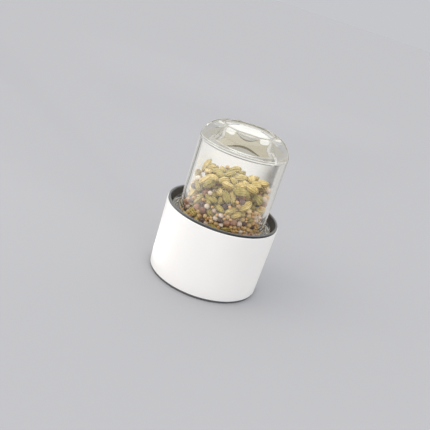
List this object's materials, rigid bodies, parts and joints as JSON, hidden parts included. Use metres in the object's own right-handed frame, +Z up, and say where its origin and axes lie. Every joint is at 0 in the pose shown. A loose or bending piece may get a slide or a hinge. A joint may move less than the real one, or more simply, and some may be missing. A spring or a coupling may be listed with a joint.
{
  "type": "spice and pepper mill attachment",
  "caption": "Spice mill with an upturned glass jar on a round white base that holds driven blades.",
  "frame": {"origin": "middle of the underside of the base ring, on the shaft's axis", "axes": "+Z up along the shaft towards the jar's closed end, +X to the right, +Y to the back"},
  "size_m": [0.085, 0.085, 0.1185],
  "materials": {
    "jar_glass": "clear polished",
    "spices": "dry pods and seeds",
    "white_plastic": "satin white",
    "dark_plastic": "satin charcoal",
    "seal_rubber": "pale silicone",
    "black_rubber": "black",
    "steel": "turned",
    "blade_steel": "ground",
    "bronze": "sintered",
    "coupling_plastic": "moulded"
  },
  "bodies": {
    "base": {"outer_shell": "white_plastic", "blade_holder": "dark_plastic", "base_ring": "dark_plastic", "base_screws": "steel", "bearing_housing": "steel", "housing_gasket": "black_rubber", "housing_nut": "steel", "upper_bush": "bronze", "lower_bush": "bronze", "shaft_seal": "black_rubber"},
    "rotor": {"drive_shaft": "steel", "thrust_washer": "steel", "lower_blade": "blade_steel", "blade_spacer": "steel", "upper_blade": "blade_steel", "blade_washer": "steel", "blade_nut": "steel", "lower_washer": "steel", "retaining_ring": "steel", "drive_dog": "coupling_plastic", "dog_pin": "steel"},
    "seal": {"jar_seal": "seal_rubber"},
    "jar": {"glass_jar": "jar_glass", "spice_charge": "spices"}
  },
  "joints": [
    {"name": "blade_spin", "type": "hinge", "parent": "base", "child": "rotor", "pos_m": [0, 0, 0.02], "axis": [0, 0, 1], "continuous": true},
    {"name": "jar_twist", "type": "hinge", "parent": "base", "child": "seal", "pos_m": [0, 0, 0.035], "axis": [0, 0, 1], "range_deg": [0, 45]},
    {"name": "jar_lift", "type": "slide", "parent": "seal", "child": "jar", "axis": [0, 0, 1], "range_m": [0, 0.07]}
  ]
}
